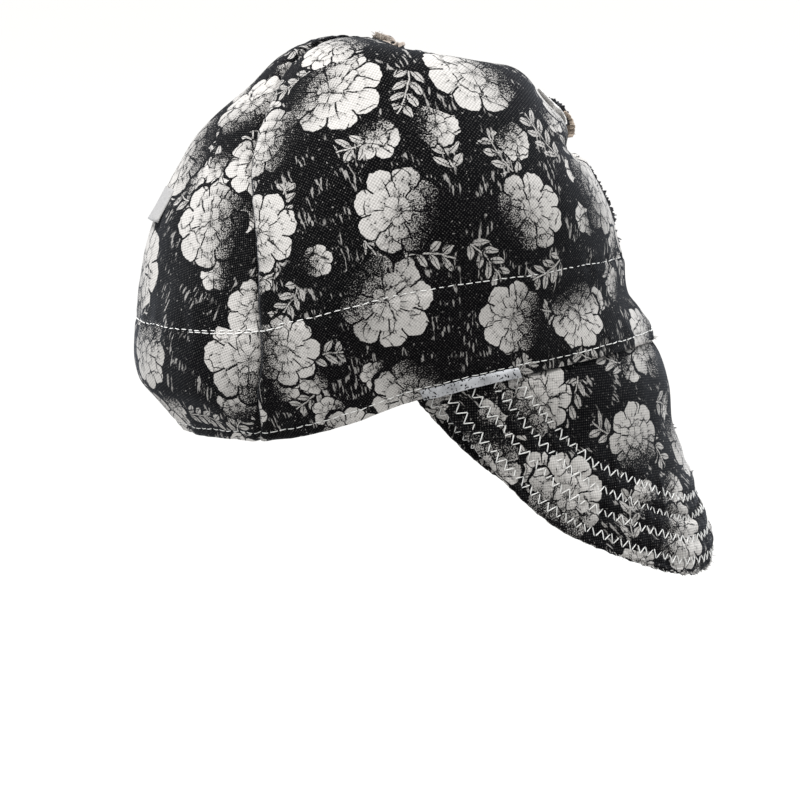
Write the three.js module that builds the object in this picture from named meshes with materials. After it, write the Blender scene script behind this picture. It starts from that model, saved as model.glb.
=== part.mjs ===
// A welder's soft cotton cap with a long drooping brim, in the attitude in which it is worn.
// Millimetres, +Z up, -Y is the wearer's front and +X the wearer's left.
// The origin is the middle of the head opening, in the plane of the crown's hem.
// Crown: three cloth panels, one on each side that meet in a seam over the forehead, and one behind.
// Inside the crown's lower edge lies a sweatband, and the crescent brim has a top and an under cover.
import * as THREE from "three";

const CLOTH = 1.6; // the crown's wall: printed cotton over its lining
const BAND_CLOTH = 1.4; // the folded sweatband
const BRIM_CLOTH = 1.5; // each cover of the brim, with its interlining
const GAP = 0.3; // between neighbouring pieces

// Crown sections from the tip to the hem. Each is an ellipse through a front and a back point.
// along: cloth length from the tip; front, frontZ, back, backZ: those two points, forward positive;
// half: half the width; wave: how much of the hem's wave the section follows.
const CROWN_SECTIONS = [
  { along: 0, front: -6, frontZ: 140, back: -10, backZ: 140, half: 2, wave: 0 },
  { along: 30, front: 20, frontZ: 130.5, back: -36, backZ: 140.5, half: 31, wave: 0 },
  { along: 52, front: 40, frontZ: 128, back: -53, backZ: 132, half: 48, wave: 0 },
  { along: 74, front: 54.5, frontZ: 115, back: -68, backZ: 117.5, half: 61, wave: 0.05 },
  { along: 102, front: 68.5, frontZ: 94, back: -91, backZ: 94, half: 74, wave: 0.2 },
  { along: 128, front: 80, frontZ: 75, back: -107, backZ: 66, half: 81, wave: 0.5 },
  { along: 160, front: 86, frontZ: 52, back: -116, backZ: 29, half: 84, wave: 0.9 },
  { along: 184, front: 88.5, frontZ: 36, back: -115, backZ: 5, half: 83, wave: 1 },
  { along: 194, front: 94, frontZ: 29.5, back: -109, backZ: -4, half: 82, wave: 1 },
  { along: 203, front: 99, frontZ: 22.5, back: -102, backZ: -12, half: 81, wave: 1 },
  { along: 210, front: 100.5, frontZ: 17, back: -98, backZ: -17, half: 80, wave: 1 },
];

// The hem's wave: how far it rises over the temples and dips behind the ears.
const HEM_WAVE = [
  { turn: 0, rise: 0 },
  { turn: 40, rise: 3.5 },
  { turn: 65, rise: 4.5 },
  { turn: 82, rise: 5 },
  { turn: 98, rise: 2.8 },
  { turn: 115, rise: -2.5 },
  { turn: 130, rise: -4.5 },
  { turn: 155, rise: -2.2 },
  { turn: 180, rise: 0 },
];
const TIP = 3; // cloth length from the tip to where the panels start, around the knot
const HEM = 210; // cloth length from the tip to the hem

// Where the back panel's seams run, in degrees round from the front seam.
const BACK_SEAM = [
  { along: 0, turn: 172 },
  { along: 30, turn: 170 },
  { along: 52, turn: 166 },
  { along: 74, turn: 154 },
  { along: 102, turn: 140 },
  { along: 128, turn: 129 },
  { along: 150, turn: 125 },
  { along: 180, turn: 124.5 },
  { along: 210, turn: 132 },
];

// How far the cloth swells out between its seams.
const SWELL = [
  { along: 0, out: 0 },
  { along: 30, out: 4.5 },
  { along: 74, out: 4 },
  { along: 128, out: 2.5 },
  { along: 184, out: 1 },
  { along: 210, out: 0 },
];

// Soft dents and ridges. turn and along are the middle, width across the fold, length along it,
// slant its angle from the upright, out how far the cloth stands out.
const FOLDS = [
  { turn: 7, along: 96, width: 7, length: 26, slant: 78, out: -4 },
  { turn: 20, along: 84, width: 9, length: 24, slant: 75, out: 2.2 },
  { turn: 62, along: 62, width: 16, length: 38, slant: 40, out: -1.8 },
  { turn: 100, along: 196, width: 12, length: 30, slant: 10, out: -1.5 },
  { turn: 140, along: 182, width: 11, length: 26, slant: -15, out: 1.6 },
  { turn: 165, along: 150, width: 15, length: 34, slant: 60, out: -2 },
  { turn: 176, along: 92, width: 13, length: 30, slant: 70, out: 1.8 },
];

// The brim's free edge, from the middle of the front to the temple.
// forward, aside and height are its place; span is the length of edge up to there.
const BRIM_EDGE = [
  { span: -28, forward: 124, aside: -27, height: -75.5 },
  { span: 0, forward: 128, aside: 0, height: -71 },
  { span: 28, forward: 124, aside: 27, height: -75.5 },
  { span: 51, forward: 111, aside: 46, height: -77 },
  { span: 73, forward: 93, aside: 58, height: -72.5 },
  { span: 102, forward: 68, aside: 68, height: -62.5 },
  { span: 125, forward: 48, aside: 74, height: -52.5 },
  { span: 149, forward: 30, aside: 77.5, height: -37.5 },
  { span: 178, forward: 10, aside: 79.5, height: -15.5 },
  { span: 202, forward: -4, aside: 80.5, height: 3 },
];
const BRIM_TURN = 93; // degrees from the front to where the brim's points run out under the hem
const BRIM_END = 0.975; // share of that turn at which the covers' narrow ends are cut

// How far the brim's middle stands out between the hem, at 0, and its free edge, at 1.
const BRIM_BELLY = [
  { down: 0, out: 0 },
  { down: 0.2, out: 3.2 },
  { down: 0.42, out: -2 },
  { down: 0.65, out: 0.8 },
  { down: 0.85, out: 0.6 },
  { down: 1, out: 0 },
];

const LABEL = { width: 30, height: 16, thick: 0.8, along: 123 };
const KNOT = { radius: 3.9, above: 2.6, below: 2.4, sides: 14 };

const CROWN_GRID = { side: 20, back: 14, rows: 25 };
const BAND_ROWS = 6; // the sweatband reaches up this many rows of the crown's grid, to its stitching
const BRIM_GRID = { across: 40, rows: 8 };

// The value of one column of a table at a place between its rows, on a smooth curve through them.
function between(table, key, column, place) {
  const last = table.length - 1;
  let i = 0;
  while (i < last - 1 && place > table[i + 1][key]) i += 1;
  const slope = (k) => {
    const before = table[Math.max(k - 1, 0)];
    const after = table[Math.min(k + 1, last)];
    return (after[column] - before[column]) / (after[key] - before[key]);
  };
  const step = table[i + 1][key] - table[i][key];
  const s = (place - table[i][key]) / step;
  if (s > 1) return table[last][column] + slope(last) * (place - table[last][key]);
  const start = table[i][column] * (1 + 2 * s) * (1 - s) ** 2 + slope(i) * step * s * (1 - s) ** 2;
  const end = table[i + 1][column] * s * s * (3 - 2 * s) - slope(i + 1) * step * s * s * (1 - s);
  return start + end;
}

const section = (column, along) => between(CROWN_SECTIONS, "along", column, along);
const radians = THREE.MathUtils.degToRad;

// A point of the crown's plain ellipse sections, before the cloth swells or folds.
function plainCrown(along, turn) {
  const angle = radians(turn);
  const front = section("front", along);
  const back = section("back", along);
  const frontZ = section("frontZ", along);
  const backZ = section("backZ", along);
  const forward = (front + back) / 2 + ((front - back) / 2) * Math.cos(angle);
  const level = (frontZ + backZ) / 2 + ((frontZ - backZ) / 2) * Math.cos(angle);
  const rise = section("wave", along) * between(HEM_WAVE, "turn", "rise", Math.abs(turn));
  return new THREE.Vector3(section("half", along) * Math.sin(angle), -forward, level + rise);
}

// The outward normal of a surface given as a function of two places.
function normalOf(surface, a, b, stepA, stepB) {
  const alongA = surface(a + stepA, b).sub(surface(a - stepA, b));
  const alongB = surface(a, b + stepB).sub(surface(a, b - stepB));
  return alongA.cross(alongB).normalize();
}

// How far the cloth stands out of its plain section at a turn from 0 to 180 degrees.
function standsOut(along, turn) {
  const seam = between(BACK_SEAM, "along", "turn", along);
  const share = turn < seam ? turn / seam : (turn - seam) / (360 - 2 * seam);
  const middle = Math.max(4 * share * (1 - share), 0);
  let out = between(SWELL, "along", "out", along) * Math.sqrt(middle);
  for (const fold of FOLDS) {
    const round = radians(turn - fold.turn) * section("half", along);
    const down = along - fold.along;
    const slant = radians(fold.slant);
    const across = round * Math.cos(slant) - down * Math.sin(slant);
    const lengthwise = round * Math.sin(slant) + down * Math.cos(slant);
    out += fold.out * Math.exp(-((across / fold.width) ** 2) - (lengthwise / fold.length) ** 2);
  }
  return out;
}

const STEP_ALONG = 1;
const STEP_TURN = 1;

// The crown's outer surface. turn runs from 0 at the front seam to 180 at the back, on the left side.
function crownFace(along, turn) {
  const point = plainCrown(along, turn);
  const normal = normalOf(plainCrown, along, turn, STEP_ALONG, STEP_TURN);
  return point.addScaledVector(normal, standsOut(along, turn));
}

// A point below the crown's outer surface by a depth.
function crownPoint(along, turn, depth) {
  const mirrored = turn < 0 || turn > 180;
  const near = turn < 0 ? -turn : turn > 180 ? 360 - turn : turn;
  const normal = normalOf(crownFace, along, near, STEP_ALONG, STEP_TURN);
  if (near === 0 || near === 180) normal.setX(0).normalize();
  const point = crownFace(along, near).addScaledVector(normal, -depth);
  return mirrored ? point.setX(-point.x) : point;
}

// A point of the brim: across from -1 to 1 between its points, down from 0 at the hem to 1 at the
// free edge.
function brimFace(across, down) {
  const side = Math.abs(across);
  const spanned = side * BRIM_EDGE.at(-1).span;
  const place = (column) => between(BRIM_EDGE, "span", column, spanned);
  const edge = new THREE.Vector3(place("aside"), -place("forward"), place("height"));
  const hem = crownPoint(HEM + GAP, side * BRIM_TURN, 0);
  const middle = new THREE.Vector3(0, -hem.y, 0).normalize().setY(-1);
  const belly = between(BRIM_BELLY, "down", "out", down) * (1 - side ** 2);
  const point = hem.lerp(edge, down).addScaledVector(middle, belly);
  return across < 0 ? point.setX(-point.x) : point;
}

function brimPoint(across, down, depth) {
  const normal = normalOf(brimFace, across, down, 0.01, 0.01).negate();
  if (across === 0) normal.setX(0).normalize();
  return brimFace(across, down).addScaledVector(normal, -depth);
}

// Turns every face round when the closed mesh's volume comes out negative.
function facingOut(geometry) {
  const position = geometry.getAttribute("position");
  const index = geometry.getIndex();
  const corner = (i) => new THREE.Vector3().fromBufferAttribute(position, index.getX(i));
  let volume = 0;
  for (let i = 0; i < index.count; i += 3) {
    volume += corner(i).dot(corner(i + 1).cross(corner(i + 2)));
  }
  if (volume > 0) return geometry;
  for (let i = 0; i < index.count; i += 3) {
    const first = index.getX(i);
    index.setX(i, index.getX(i + 1));
    index.setX(i + 1, first);
  }
  return geometry;
}

// Moves every vertex of a closed geometry to where a function of its x, y and z says.
function shaped(geometry, place) {
  const position = geometry.getAttribute("position");
  const vertex = new THREE.Vector3();
  for (let i = 0; i < position.count; i += 1) {
    vertex.fromBufferAttribute(position, i);
    const moved = place(vertex.x, vertex.y, vertex.z);
    position.setXYZ(i, moved.x, moved.y, moved.z);
  }
  geometry.deleteAttribute("normal");
  geometry.deleteAttribute("uv");
  return facingOut(geometry);
}

// A sheet of cloth: place(across, down, depth) with across and down from 0 to 1.
function clothSheet(columns, rows, thick, place) {
  const slab = new THREE.BoxGeometry(1, 1, 1, columns, rows, 1);
  return shaped(slab, (x, y, z) => place(x + 0.5, 0.5 - y, (0.5 - z) * thick));
}

function mesh(name, geometry, color, roughness = 0.9) {
  const material = new THREE.MeshStandardMaterial({ color, roughness, metalness: 0 });
  const made = new THREE.Mesh(geometry, material);
  made.name = name;
  return made;
}

const PRINT = 0x4a4846; // the print's black ground and pale motifs, mixed
const LINING = 0x1d1c1e;
const LABEL_WHITE = 0xe6e2da;
const FRAYED = 0xb3a48f;

// A crown panel between two seams, each a number of degrees that may change along the cloth.
function crownPanel(name, from, to, columns) {
  const place = (across, down, depth) => {
    const along = TIP + (HEM - TIP) * down;
    const edge = ((GAP / 2 / section("half", along)) * 180) / Math.PI;
    const start = from(along) + edge;
    const end = to(along) - edge;
    return crownPoint(along, start + (end - start) * across, depth);
  };
  return mesh(name, clothSheet(columns, CROWN_GRID.rows, CLOTH, place), PRINT);
}

function crown() {
  const seam = (along) => between(BACK_SEAM, "along", "turn", along);
  const group = new THREE.Group();
  group.add(
    crownPanel("crown_panel_left", () => 0, seam, CROWN_GRID.side),
    crownPanel("crown_panel_right", (along) => -seam(along), () => 0, CROWN_GRID.side),
    crownPanel("crown_panel_back", seam, (along) => 360 - seam(along), CROWN_GRID.back),
  );
  return group;
}

// The turn of a column of the crown's grid, counted from the front seam round the left side.
function columnTurn(column, along) {
  const { side, back } = CROWN_GRID;
  const seam = between(BACK_SEAM, "along", "turn", along);
  if (column <= side) return (seam * column) / side;
  if (column < side + back) return seam + ((360 - 2 * seam) * (column - side)) / back;
  return 360 - (seam * (2 * side + back - column)) / side;
}

// The sweatband is a ring with a rectangular section, from its stitching down to the hem.
function sweatband() {
  const outside = Array.from({ length: BAND_ROWS + 1 }, (_, i) => new THREE.Vector2(2, i));
  const inside = outside.map(({ y }) => new THREE.Vector2(1, BAND_ROWS - y));
  const columns = 2 * CROWN_GRID.side + CROWN_GRID.back;
  const ring = new THREE.LatheGeometry([...outside, ...inside, outside[0]], columns);
  const row = (HEM - TIP) / CROWN_GRID.rows;
  const geometry = shaped(ring, (x, y, z) => {
    const share = Math.atan2(z, x) / (2 * Math.PI);
    const column = Math.round((share + 1) * columns) % columns;
    const along = HEM - row * (BAND_ROWS - y);
    const inward = 2 - Math.hypot(x, z);
    const depth = CLOTH + GAP + inward * BAND_CLOTH;
    return crownPoint(along, columnTurn(column, along), depth);
  });
  return mesh("sweatband", geometry, LINING);
}

function brimCover(name, top) {
  const place = (across, down, depth) =>
    brimPoint((across * 2 - 1) * BRIM_END, down, top + depth);
  return mesh(name, clothSheet(BRIM_GRID.across, BRIM_GRID.rows, BRIM_CLOTH, place), PRINT);
}

function brim() {
  const group = new THREE.Group();
  group.add(
    brimCover("brim_top_cover", 0),
    brimCover("brim_under_cover", BRIM_CLOTH + GAP),
  );
  return group;
}

// The bunched seam ends where the three panels meet.
function knot() {
  const arc = Array.from({ length: 7 }, (_, i) => {
    const angle = (Math.PI * i) / 6 - Math.PI / 2;
    const height = Math.sin(angle) > 0 ? KNOT.above : KNOT.below;
    const radius = i === 0 || i === 6 ? 0 : KNOT.radius * Math.cos(angle);
    return new THREE.Vector2(radius, height * Math.sin(angle));
  });
  const made = mesh("crown_knot", new THREE.LatheGeometry(arc, KNOT.sides), FRAYED);
  const middle = crownPoint(TIP, 0, CLOTH / 2).lerp(crownPoint(TIP, 180, CLOTH / 2), 0.5);
  made.position.copy(middle);
  made.rotation.x = Math.PI / 2;
  return made;
}

// The small woven label sewn on the back panel.
function backLabel() {
  const girth = section("half", LABEL.along);
  const halfTurn = THREE.MathUtils.radToDeg(LABEL.width / 2 / girth);
  const place = (across, down, depth) => {
    const along = LABEL.along + (down - 0.5) * LABEL.height;
    return crownPoint(along, 180 + (across - 0.5) * 2 * halfTurn, depth - GAP - LABEL.thick);
  };
  return mesh("back_label", clothSheet(8, 4, LABEL.thick, place), LABEL_WHITE, 0.7);
}

const cap = new THREE.Group();
cap.add(crown(), sweatband(), brim(), knot(), backLabel());

export default cap;
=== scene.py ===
"""A welder's soft cotton cap with a long drooping brim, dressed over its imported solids.

Lengths in the tables are millimetres; MM turns them into Blender's metres.
+Z is up, -Y the wearer's front, and the origin the middle of the head opening.
"""
from math import atan2, cos, pi, radians, sin

import bmesh
import bpy
import numpy as np
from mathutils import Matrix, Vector, noise


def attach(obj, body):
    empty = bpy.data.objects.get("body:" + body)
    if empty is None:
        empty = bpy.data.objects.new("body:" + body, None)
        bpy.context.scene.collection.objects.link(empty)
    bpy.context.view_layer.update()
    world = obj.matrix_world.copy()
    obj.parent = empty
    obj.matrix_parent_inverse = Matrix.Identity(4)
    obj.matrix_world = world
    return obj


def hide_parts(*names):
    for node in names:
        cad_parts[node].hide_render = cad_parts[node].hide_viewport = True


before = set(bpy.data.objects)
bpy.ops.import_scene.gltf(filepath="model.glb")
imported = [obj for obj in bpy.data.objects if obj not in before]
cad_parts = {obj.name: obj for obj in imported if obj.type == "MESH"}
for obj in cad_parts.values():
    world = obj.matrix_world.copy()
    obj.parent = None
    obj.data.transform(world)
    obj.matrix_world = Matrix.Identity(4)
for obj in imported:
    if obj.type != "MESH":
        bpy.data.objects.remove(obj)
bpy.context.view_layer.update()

MM = 0.001

# Sizes and tables of the cap's form, as in its solids
CLOTH = 1.6
BAND_CLOTH = 1.4
BRIM_CLOTH = 1.5
GAP = 0.3
TIP = 3
HEM = 210
BAND_STITCH = 160.8
HEM_STITCH = 205
BRIM_TURN = 93
BRIM_END = 0.975

CROWN_SECTIONS = dict(
    along=[0, 30, 52, 74, 102, 128, 160, 184, 194, 203, 210],
    front=[-6, 20, 40, 54.5, 68.5, 80, 86, 88.5, 94, 99, 100.5],
    front_z=[140, 130.5, 128, 115, 94, 75, 52, 36, 29.5, 22.5, 17],
    back=[-10, -36, -53, -68, -91, -107, -116, -115, -109, -102, -98],
    back_z=[140, 140.5, 132, 117.5, 94, 66, 29, 5, -4, -12, -17],
    half=[2, 31, 48, 61, 74, 81, 84, 83, 82, 81, 80],
    wave=[0, 0, 0, 0.05, 0.2, 0.5, 0.9, 1, 1, 1, 1],
)
HEM_WAVE = dict(
    turn=[0, 40, 65, 82, 98, 115, 130, 155, 180],
    rise=[0, 3.5, 4.5, 5, 2.8, -2.5, -4.5, -2.2, 0],
)
BACK_SEAM = dict(
    along=[0, 30, 52, 74, 102, 128, 150, 180, 210],
    turn=[172, 170, 166, 154, 140, 129, 125, 124.5, 136],
)
SWELL = dict(
    along=[0, 30, 74, 128, 184, 210],
    out=[0, 4.5, 4, 2.5, 1, 0],
)
FOLDS = dict(
    turn=[7, 20, 62, 100, 140, 165, 176],
    along=[96, 84, 62, 196, 182, 150, 92],
    width=[7, 9, 16, 12, 11, 15, 13],
    length=[26, 24, 38, 30, 26, 34, 30],
    slant=[78, 75, 40, 10, -15, 60, 70],
    out=[-4, 2.2, -1.8, -1.5, 1.6, -2, 1.8],
)
BRIM_EDGE = dict(
    span=[-28, 0, 28, 51, 73, 102, 125, 149, 178, 202],
    forward=[124, 128, 124, 111, 93, 68, 48, 30, 10, -4],
    aside=[-27, 0, 27, 46, 58, 68, 74, 77.5, 79.5, 80.5],
    height=[-75.5, -71, -75.5, -77, -72.5, -62.5, -52.5, -37.5, -15.5, 3],
)
BRIM_BELLY = dict(
    down=[0, 0.2, 0.42, 0.65, 0.85, 1],
    out=[0, 3.2, -2, 0.8, 0.6, 0],
)
BRIM_SPAN = BRIM_EDGE["span"][-1]
LABEL = dict(width=32, height=11.6, along=121.2)

# The brim's zigzag rows and the cap's straight rows of stitching
ZIGZAG_ROWS = dict(
    front=[6.4, 15, 24, 33.5],
    side=[4.6, 13.5, 21.4, 29],
)
ZIGZAG_HALF_WIDTH = 2.05
ZIGZAG_HALF_STEP = dict(front=2.15, side=2.75)
ZIGZAG_THREAD = 0.25
WEAVE = 1.5
FINE_WEAVE = 0.9
SEAM_SLIT = 0.02
ALLOWANCE = 7
RAW_CLOTH = 0.45
HEM_TURN_CLOTH = 0.4
LABEL_CLOTH = 0.5
TIP_CLOTH = 0.6
BRIM_COVER_CLOTH = 0.9
BAND_SLACK = 0.35
STITCH_LENGTH = 3.9
STITCH_REST = 0.9
STITCH_SLIP = 0.22
THREAD = 0.2

# Where the camera stands, round from the wearer's front and up, and how wide it sees
CAMERA = dict(azimuth=-98, elevation=7, distance=1200, aim=(0, 6.3, -8.4), width=336)
SENSOR = 36


def add_object(name, data):
    made = bpy.data.objects.new(name, data)
    bpy.context.scene.collection.objects.link(made)
    return made


def look_from(made, azimuth, elevation):
    """Turns a camera or lamp to face the cap from there, and returns the direction back to it."""
    turn, lift = radians(azimuth), radians(elevation)
    level = cos(lift)
    back = Vector((sin(turn) * level, -cos(turn) * level, sin(lift)))
    made.rotation_euler = (-back).to_track_quat("-Z", "Y").to_euler()
    return back


def make_camera():
    data = bpy.data.cameras.new("camera")
    data.sensor_width = SENSOR
    data.lens = SENSOR * CAMERA["distance"] / CAMERA["width"]
    camera = add_object("camera", data)
    back = look_from(camera, CAMERA["azimuth"], CAMERA["elevation"])
    camera.location = (Vector(CAMERA["aim"]) + back * CAMERA["distance"]) * MM
    data.clip_start = 0.05
    data.clip_end = 50
    bpy.context.scene.camera = camera


# The cap's surfaces, for whole arrays of places at once


def rows_of(table):
    """The rows of a table that is written as columns."""
    return [dict(zip(table, row)) for row in zip(*table.values())]


def between(table, key, column, place):
    """One column of a table at places between its rows, on a smooth curve through them."""
    keys, values = np.array(table[key], float), np.array(table[column], float)
    last = len(keys) - 1
    index = np.arange(last + 1)
    after = np.minimum(index + 1, last)
    before = np.maximum(index - 1, 0)
    slopes = (values[after] - values[before]) / (keys[after] - keys[before])
    i = np.clip(np.searchsorted(keys, place, side="left") - 1, 0, last - 1)
    step = keys[i + 1] - keys[i]
    s = (place - keys[i]) / step
    start = values[i] * (1 + 2 * s) * (1 - s) ** 2 + slopes[i] * step * s * (1 - s) ** 2
    end = values[i + 1] * s * s * (3 - 2 * s) - slopes[i + 1] * step * s * s * (1 - s)
    beyond = values[last] + slopes[last] * (place - keys[last])
    return np.where(s > 1, beyond, start + end)


def section(column, along):
    return between(CROWN_SECTIONS, "along", column, along)


def front_seam(along):
    return 0 * along


def left_seam(along):
    return between(BACK_SEAM, "along", "turn", along)


def right_seam(along):
    return -left_seam(along)


def right_seam_onwards(along):
    return 360 - left_seam(along)


def unit(vectors):
    length = np.linalg.norm(vectors, axis=-1, keepdims=True)
    return vectors / np.maximum(length, 1e-9)


def arrays(a, b):
    return np.broadcast_arrays(np.asarray(a, float), np.asarray(b, float))


def normal_of(surface, a, b, step_a, step_b):
    along_a = surface(a + step_a, b) - surface(a - step_a, b)
    along_b = surface(a, b + step_b) - surface(a, b - step_b)
    return unit(np.cross(along_a, along_b))


def plain_crown(along, turn):
    angle = np.radians(turn)
    front, back = section("front", along), section("back", along)
    front_z, back_z = section("front_z", along), section("back_z", along)
    forward = (front + back) / 2 + (front - back) / 2 * np.cos(angle)
    level = (front_z + back_z) / 2 + (front_z - back_z) / 2 * np.cos(angle)
    rise = section("wave", along) * between(HEM_WAVE, "turn", "rise", np.abs(turn))
    return np.stack([section("half", along) * np.sin(angle), -forward, level + rise], axis=-1)


def stands_out(along, turn):
    seam = left_seam(along)
    share = np.where(turn < seam, turn / seam, (turn - seam) / (360 - 2 * seam))
    middle = np.maximum(4 * share * (1 - share), 0)
    out = between(SWELL, "along", "out", along) * np.sqrt(middle)
    for fold in rows_of(FOLDS):
        around = np.radians(turn - fold["turn"]) * section("half", along)
        down = along - fold["along"]
        slant = radians(fold["slant"])
        across = around * cos(slant) - down * sin(slant)
        lengthwise = around * sin(slant) + down * cos(slant)
        near = -((across / fold["width"]) ** 2) - (lengthwise / fold["length"]) ** 2
        out = out + fold["out"] * np.exp(near)
    return out


def crown_face(along, turn):
    normal = normal_of(plain_crown, along, turn, 1, 1)
    return plain_crown(along, turn) + normal * stands_out(along, turn)[..., None]


def one_side(turn):
    """The same place on the left half, as a turn from 0 at the front to 180 at the back."""
    return np.where(turn < 0, -turn, np.where(turn > 180, 360 - turn, turn))


def crown_frame(along, turn):
    """Points of the crown's outer surface and their outward normals."""
    along, turn = arrays(along, turn)
    near = one_side(turn)
    normal = normal_of(crown_face, along, near, 1, 1)
    middle = (near == 0) | (near == 180)
    normal[..., 0] = np.where(middle, 0, normal[..., 0])
    normal = unit(normal)
    point = crown_face(along, near)
    flip = np.where((turn < 0) | (turn > 180), -1.0, 1.0)
    point[..., 0] *= flip
    normal[..., 0] *= flip
    return point, normal


# The waves of an irregular line: how often each comes, how high it is and where it starts
WAVES = dict(
    rate=[1.0, 1.73, 0.61, 2.9],
    high=[1.0, 0.7, 0.8, 0.35],
    phase=[0.3, 2.1, 4.4, 5.2],
)


def wobble(place, seed):
    """A smooth irregular wave from about -1 to 1, one ripple to each unit of place."""
    total = 0
    for wave in rows_of(WAVES):
        phase = wave["phase"] * (seed + 1)
        total = total + wave["high"] * np.sin(2 * np.pi * wave["rate"] * place + phase)
    return total / 2.2


def lumps(points, size):
    """Smooth noise from about -1 to 1 at points in millimetres, with lumps of a size."""
    flat = points.reshape(-1, 3) / size
    values = np.array([noise.noise(Vector(p)) for p in flat])
    return values.reshape(points.shape[:-1])


def bump(distance, width):
    return np.exp(-((distance / width) ** 2))


def degree(along, turn):
    """Millimetres of cloth in one degree of turn."""
    angle = np.radians(turn)
    half = section("half", along)
    deep = (section("front", along) - section("back", along)) / 2
    return np.radians(1) * np.hypot(half * np.cos(angle), deep * np.sin(angle))


# Small hollows and swells that the cloth has beside the larger folds of the solids
DENTS = dict(
    along=[76, 97.5, 107, 95, 28, 11, 2, 20, 22],
    long=[13, 3.2, 4.5, 48, 17, 5, 4.5, 16, 22],
    turn=[12, 8, 4, 0, 180, 180, 0, 80, 20],
    wide=[24, 22, 22, 2.6, 10, 60, 400, 40, 60],
    out=[-1.8, -2.6, 1.2, 2.4, -2.4, 0.7, -2, -2.6, -1.3],
)


def crown_creases(along, turn, points):
    """How far the cloth rises and sinks at its seams, its stitching and by its own softness."""
    near = one_side(turn)
    step = degree(along, near)
    seam = left_seam(along)
    to_front = near * step
    to_back = np.abs(near - seam) * step
    side = np.where((turn < 0) | (turn > 180), 3.0, 0.0)
    out = 0.8 * lumps(points, 34) + 0.4 * lumps(points + 500, 14)
    out = out - 0.7 * bump(to_back, 0.7) + 0.3 * bump(to_back - 3, 2.5)
    out = out - 0.7 * bump(to_front, 0.9) + 0.3 * bump(to_front - 2.4, 1.5)
    for distance, seed in ((to_front, 1.0), (to_back, 2.0)):
        out = out + 0.5 * bump(distance, 7) * wobble(along / 9, seed + side)
    for stitch, deep, seed in ((BAND_STITCH, 0.45, 5.0), (HEM_STITCH, 0.4, 7.0)):
        distance = along - stitch
        out = out - deep * bump(distance, 1.1)
        out = out + 0.55 * bump(distance, 7) * wobble(to_front / 9, seed + side)
    out = out - 1.9 * bump(near, 34) * bump(along - 108, 40)
    for dent in rows_of(DENTS):
        reach = bump(along - dent["along"], dent["long"]) * bump(near - dent["turn"], dent["wide"])
        out = out + dent["out"] * reach
    band = np.clip((along - BAND_STITCH) / 3, 0, 1)
    return out + 0.3 * band


def crown_skin(along, turn, depth=0.0):
    """Points of the crown's creased cloth, a depth below its face, and the normals there."""
    along, turn = arrays(along, turn)
    point, normal = crown_frame(along, turn)
    out = crown_creases(along, turn, point)
    return point + normal * (out - depth)[..., None], normal


def brim_place(span):
    columns = ("aside", "forward", "height")
    return [between(BRIM_EDGE, "span", column, span) for column in columns]


def brim_face(across, down):
    side = np.abs(across)
    aside, forward, height = brim_place(side * BRIM_SPAN)
    edge = np.stack([aside, -forward, height], axis=-1)
    hem, _ = crown_frame(HEM + GAP, side * BRIM_TURN)
    belly = between(BRIM_BELLY, "down", "out", down) * (1 - side**2)
    point = hem + (edge - hem) * down[..., None]
    point[..., 1] -= belly
    point[..., 0] *= np.where(across < 0, -1.0, 1.0)
    return point


def brim_frame(across, down):
    across, down = arrays(across, down)
    normal = -normal_of(brim_face, across, down, 0.01, 0.01)
    normal[..., 0] = np.where(across == 0, 0, normal[..., 0])
    return brim_face(across, down), unit(normal)


# The brim's length, and how it is tucked in under the hem
BRIM_LENGTH = 90
TUCK = dict(deep=0.9, broad=2.5)

EDGE_SIDES = np.linspace(-1, 1, 501)
EDGE_LINE = brim_face(EDGE_SIDES, np.ones_like(EDGE_SIDES))


def from_edge(points):
    """How far points of the brim lie from its free edge."""
    flat = points.reshape(-1, 3)
    nearest = []
    for group in np.array_split(flat, max(len(flat) // 2000, 1)):
        squares = ((group[:, None] - EDGE_LINE[None]) ** 2).sum(axis=2)
        nearest.append(np.sqrt(squares.min(axis=1)))
    return np.concatenate(nearest).reshape(points.shape[:-1])


def row_distance(row, across):
    """A zigzag row's distance from the free edge, less at the very front and at the sides."""
    distance = row["front"] + (row["side"] - row["front"]) * np.abs(across)
    return distance * (1 - 0.2 * bump(across, 0.16))


def brim_creases(across, distance, points):
    """How the quilting, the turned edge and its own softness move a brim cover."""
    out = 0.5 * lumps(points + 900, 30) + 0.3 * lumps(points + 300, 11)
    run = across * BRIM_SPAN
    for number, row in enumerate(rows_of(ZIGZAG_ROWS)):
        beside = distance - row_distance(row, across)
        out = out - 0.8 * bump(beside, 2.2)
        out = out + 0.6 * bump(beside, 4) * wobble(run / 6, number)
    out = out - 0.35 * bump(distance - 2.7, 0.5)
    return out * np.clip(distance / 2, 0, 1)


# Furrows across the brim's front, in both covers; aside is a share of the half brim
BENDS = dict(
    distance=[0, 8, 23.6, 29, 40, 72],
    broad=[4, 4, 1.8, 5, 5, 13],
    aside=[0.26, 0.3, 0.3, 0.3, 0.3, 0.4],
    out=[-2.8, 0.9, -2.6, -1.6, -1.5, -2.4],
)


def brim_bends(across, distance):
    """How the whole brim bends in its furrows."""
    out = 0
    for bend in rows_of(BENDS):
        reach = bump(across, bend["aside"]) * bump(distance - bend["distance"], bend["broad"])
        out = out + bend["out"] * reach
    return out


def ragged_edge(across, distance):
    """How far the worn free edge reaches out, most at the front."""
    run = across * BRIM_SPAN
    uneven = 0.65 * wobble(run / 6.1, 9) + 0.55 * wobble(run / 2.3, 4)
    worn = 0.25 + 0.75 * bump(across, 0.42)
    return uneven * worn * bump(distance, 1.6)


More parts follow.
